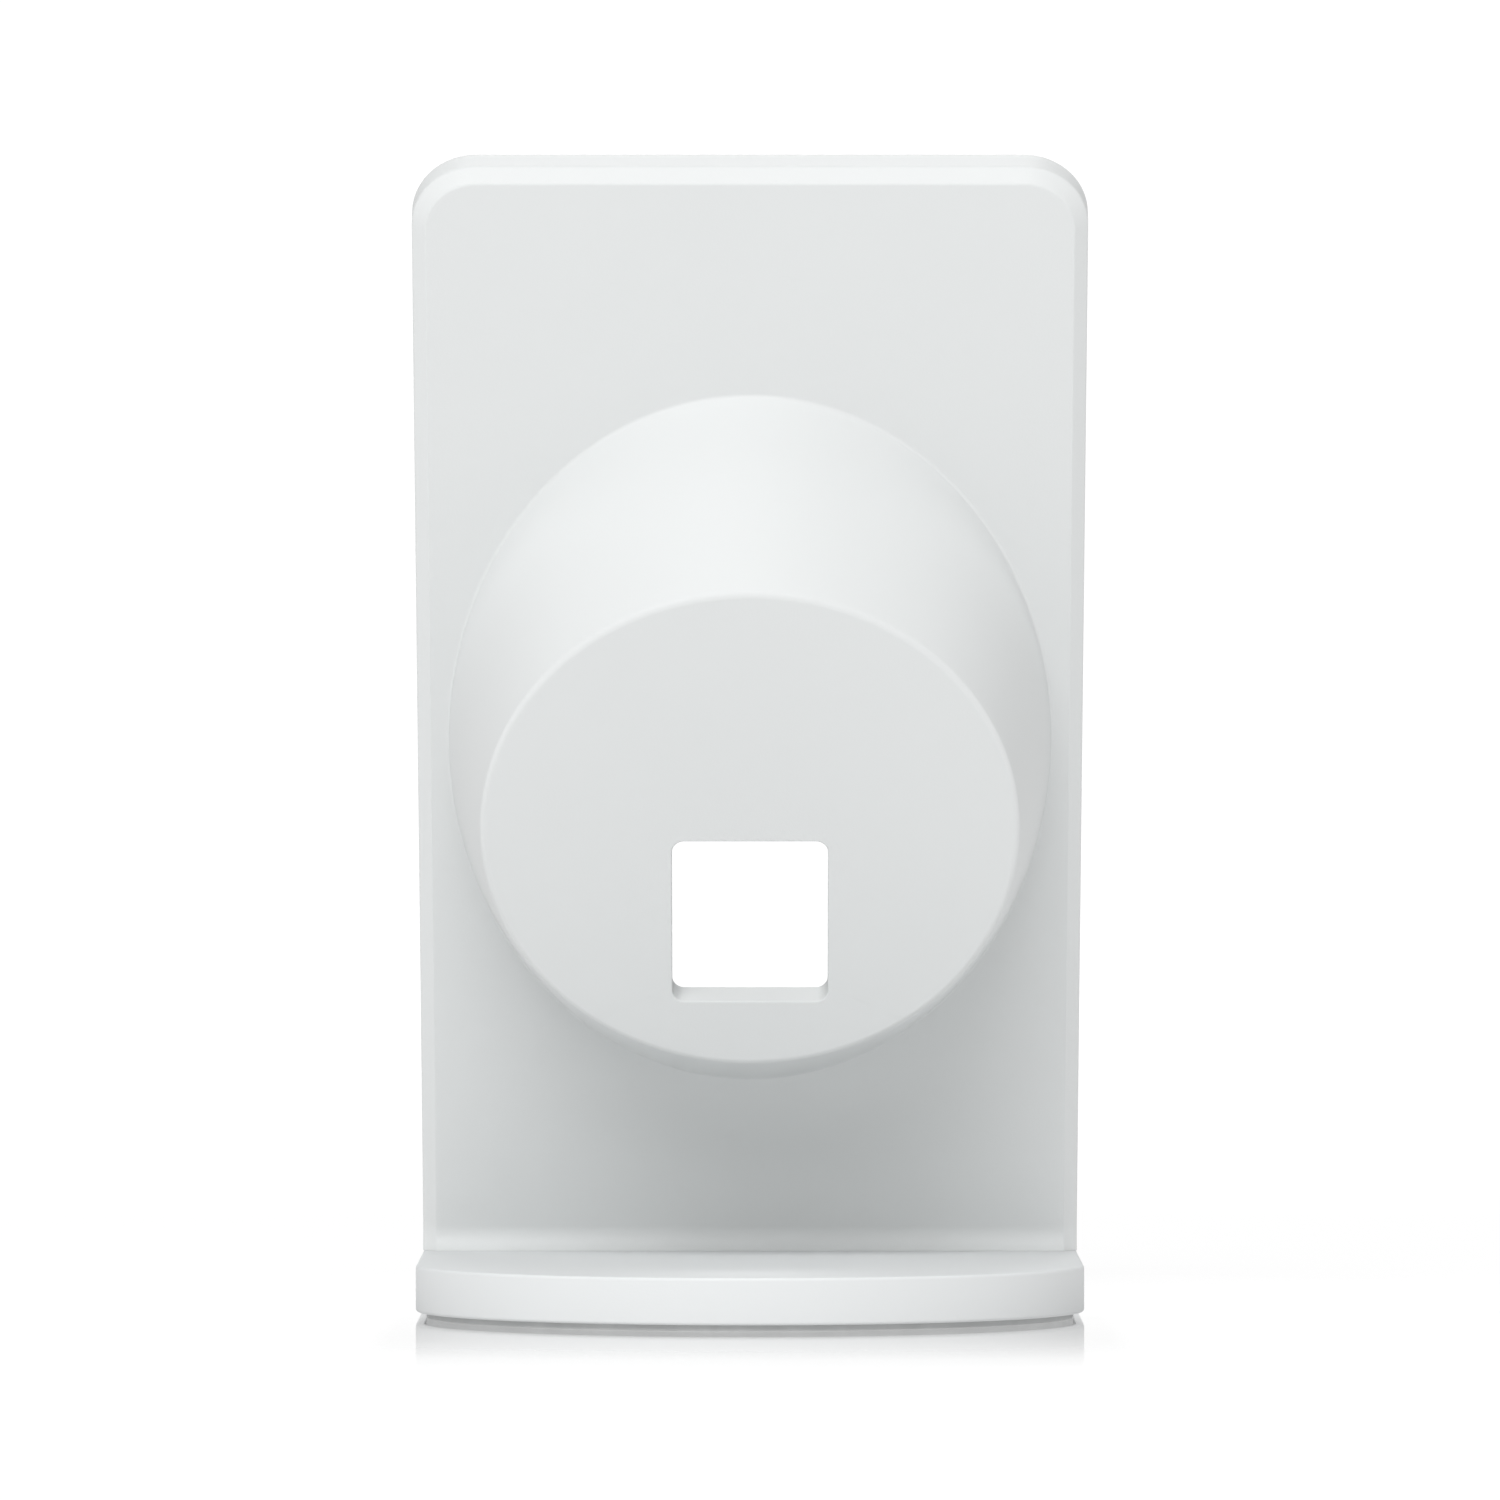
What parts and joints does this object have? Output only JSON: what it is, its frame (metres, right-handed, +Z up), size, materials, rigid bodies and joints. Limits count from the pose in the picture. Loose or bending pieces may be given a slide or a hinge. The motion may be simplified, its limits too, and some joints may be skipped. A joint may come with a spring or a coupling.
{
  "type": "desk stand for an in-wall access point",
  "caption": "Leaning white stand on a low weighted foot that holds a flat wireless access point upright and leads its cable out through a hollow round hub.",
  "frame": {"origin": "on the desk, under the middle of the stand's bounding box", "axes": "+Z up, +X across the plate, -Y towards the hub's end and the foot's round nose; the plate leans 28.8 degrees towards -Y"},
  "size_m": [0.086, 0.0988, 0.1488],
  "materials": {
    "shell_plastic": "fine matt moulded white",
    "lever_plastic": "matt moulded grey",
    "plated_steel": "zinc-plated pressed sheet",
    "screw_steel": "bright plated",
    "spring_steel": "drawn wire",
    "ballast_steel": "dark oiled plate",
    "brass": "turned",
    "pad_rubber": "matt grey silicone"
  },
  "bodies": {
    "stand": {"upright_shell": "shell_plastic", "mounting_plate": "plated_steel", "lock_pin": "screw_steel", "lock_spring": "spring_steel", "foot_shell": "shell_plastic", "ballast_plate": "ballast_steel", "rubber_pad": "pad_rubber", "plate_screw_upper_left": "screw_steel", "plate_screw_lower_left": "screw_steel", "ballast_screw_rear_left": "screw_steel", "ballast_screw_front_left": "screw_steel", "upright_screw_left": "screw_steel", "thread_insert_left": "brass", "plate_screw_upper_right": "screw_steel", "plate_screw_lower_right": "screw_steel", "ballast_screw_rear_right": "screw_steel", "ballast_screw_front_right": "screw_steel", "upright_screw_right": "screw_steel", "thread_insert_right": "brass"},
    "lock_lever": {"lock_lever": "lever_plastic"}
  },
  "joints": [
    {"name": "lock_press", "type": "hinge", "parent": "stand", "child": "lock_lever", "pos_m": [0, -0.01508, 0.11145], "axis": [-1, 0, 0], "range_deg": [0, 12], "stiffness_Nm_per_rad": 0.02, "springref_deg": -11.46, "deforming": ["lock_spring"]}
  ]
}
